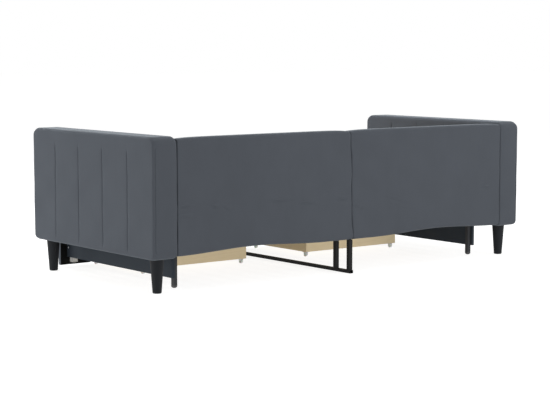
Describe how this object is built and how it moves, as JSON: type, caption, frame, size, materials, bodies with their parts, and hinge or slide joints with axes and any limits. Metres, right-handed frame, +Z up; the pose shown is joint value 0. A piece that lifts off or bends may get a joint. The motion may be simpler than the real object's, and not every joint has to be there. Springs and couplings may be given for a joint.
{
  "type": "trundle daybed",
  "caption": "Upholstered daybed with channelled arms and back, a pull-out trundle bed beneath it and rolling drawers under the trundle.",
  "frame": {"origin": "on the floor under the middle of the daybed's box", "axes": "+X towards the right arm as seen from the front, +Y towards the back panels, +Z up; the front faces -Y"},
  "size_m": [2.28, 1.078, 0.696],
  "materials": {
    "velvet": "short velvet pile",
    "lining": "matt nonwoven",
    "tape": "woven webbing",
    "black_wood": "satin black stain",
    "black_steel": "black powder coat",
    "grey_board": "matt dark grey foil",
    "pale_wood": "bare planed softwood",
    "drawer_wood": "clear-lacquered plywood",
    "white_plastic": "moulded nylon",
    "black_plastic": "moulded plastic",
    "zinc_steel": "zinc plated"
  },
  "bodies": {
    "daybed": {"arm_left": "velvet", "arm_right": "velvet", "back_panel_left": "velvet", "back_panel_right": "velvet", "front_rail_left": "velvet", "front_rail_right": "velvet", "leg_front_left": "black_wood", "leg_front_right": "black_wood", "leg_rear_left": "black_wood", "leg_rear_right": "black_wood", "arm_rail_left": "pale_wood", "arm_rail_right": "pale_wood", "leg_bolts": "zinc_steel", "slat_battens": "pale_wood", "slats_left": "pale_wood", "slats_right": "pale_wood", "slat_tapes": "tape", "centre_beam": "black_steel", "centre_tall_post": "black_steel", "centre_rear_post": "black_steel", "centre_floor_bar": "black_steel", "frame_brackets": "zinc_steel", "frame_screws": "zinc_steel"},
    "trundle": {"trundle_front_left": "velvet", "trundle_front_right": "velvet", "front_lining": "lining", "side_board_left": "grey_board", "side_board_right": "grey_board", "trundle_rear_rail": "black_steel", "trundle_batten": "pale_wood", "trundle_post_left": "black_steel", "trundle_post_right": "black_steel", "foot_caps": "black_plastic", "corner_block_left": "pale_wood", "corner_block_right": "pale_wood", "trundle_slats": "pale_wood", "trundle_slat_tapes": "tape", "wheel_forks": "zinc_steel", "trundle_screws": "zinc_steel"},
    "trundle_wheel_left": {"trundle_wheel_left": "black_plastic"},
    "trundle_wheel_right": {"trundle_wheel_right": "black_plastic"},
    "drawer_left": {"drawer_left_front": "velvet", "drawer_left_sides": "drawer_wood", "drawer_left_ends": "drawer_wood", "drawer_left_bottom": "drawer_wood", "drawer_left_castors": "white_plastic"},
    "drawer_left_wheel_1": {"drawer_left_wheel_1": "white_plastic"},
    "drawer_left_wheel_2": {"drawer_left_wheel_2": "white_plastic"},
    "drawer_left_wheel_3": {"drawer_left_wheel_3": "white_plastic"},
    "drawer_left_wheel_4": {"drawer_left_wheel_4": "white_plastic"},
    "drawer_right": {"drawer_right_front": "velvet", "drawer_right_sides": "drawer_wood", "drawer_right_ends": "drawer_wood", "drawer_right_bottom": "drawer_wood", "drawer_right_castors": "white_plastic"},
    "drawer_right_wheel_1": {"drawer_right_wheel_1": "white_plastic"},
    "drawer_right_wheel_2": {"drawer_right_wheel_2": "white_plastic"},
    "drawer_right_wheel_3": {"drawer_right_wheel_3": "white_plastic"},
    "drawer_right_wheel_4": {"drawer_right_wheel_4": "white_plastic"}
  },
  "joints": [
    {"name": "trundle_slide", "type": "slide", "parent": "daybed", "child": "trundle", "axis": [0, -1, 0], "range_m": [0, 0.93]},
    {"name": "trundle_wheel_left_turn", "type": "hinge", "parent": "trundle", "child": "trundle_wheel_left", "pos_m": [-0.09, -0.479, 0.02], "axis": [1, 0, 0], "continuous": true},
    {"name": "trundle_wheel_right_turn", "type": "hinge", "parent": "trundle", "child": "trundle_wheel_right", "pos_m": [0.09, -0.479, 0.02], "axis": [1, 0, 0], "continuous": true},
    {"name": "drawer_left_slide", "type": "slide", "parent": "trundle", "child": "drawer_left", "axis": [0, -1, 0], "range_m": [0, 0.46]},
    {"name": "drawer_left_wheel_1_turn", "type": "hinge", "parent": "drawer_left", "child": "drawer_left_wheel_1", "pos_m": [-0.21, -0.496, 0.011], "axis": [1, 0, 0], "continuous": true},
    {"name": "drawer_left_wheel_2_turn", "type": "hinge", "parent": "drawer_left", "child": "drawer_left_wheel_2", "pos_m": [-0.797, -0.496, 0.011], "axis": [1, 0, 0], "continuous": true},
    {"name": "drawer_left_wheel_3_turn", "type": "hinge", "parent": "drawer_left", "child": "drawer_left_wheel_3", "pos_m": [-0.21, -0.069, 0.011], "axis": [1, 0, 0], "continuous": true},
    {"name": "drawer_left_wheel_4_turn", "type": "hinge", "parent": "drawer_left", "child": "drawer_left_wheel_4", "pos_m": [-0.797, -0.069, 0.011], "axis": [1, 0, 0], "continuous": true},
    {"name": "drawer_right_slide", "type": "slide", "parent": "trundle", "child": "drawer_right", "axis": [0, -1, 0], "range_m": [0, 0.46]},
    {"name": "drawer_right_wheel_1_turn", "type": "hinge", "parent": "drawer_right", "child": "drawer_right_wheel_1", "pos_m": [0.21, -0.496, 0.011], "axis": [1, 0, 0], "continuous": true},
    {"name": "drawer_right_wheel_2_turn", "type": "hinge", "parent": "drawer_right", "child": "drawer_right_wheel_2", "pos_m": [0.797, -0.496, 0.011], "axis": [1, 0, 0], "continuous": true},
    {"name": "drawer_right_wheel_3_turn", "type": "hinge", "parent": "drawer_right", "child": "drawer_right_wheel_3", "pos_m": [0.21, -0.069, 0.011], "axis": [1, 0, 0], "continuous": true},
    {"name": "drawer_right_wheel_4_turn", "type": "hinge", "parent": "drawer_right", "child": "drawer_right_wheel_4", "pos_m": [0.797, -0.069, 0.011], "axis": [1, 0, 0], "continuous": true}
  ]
}
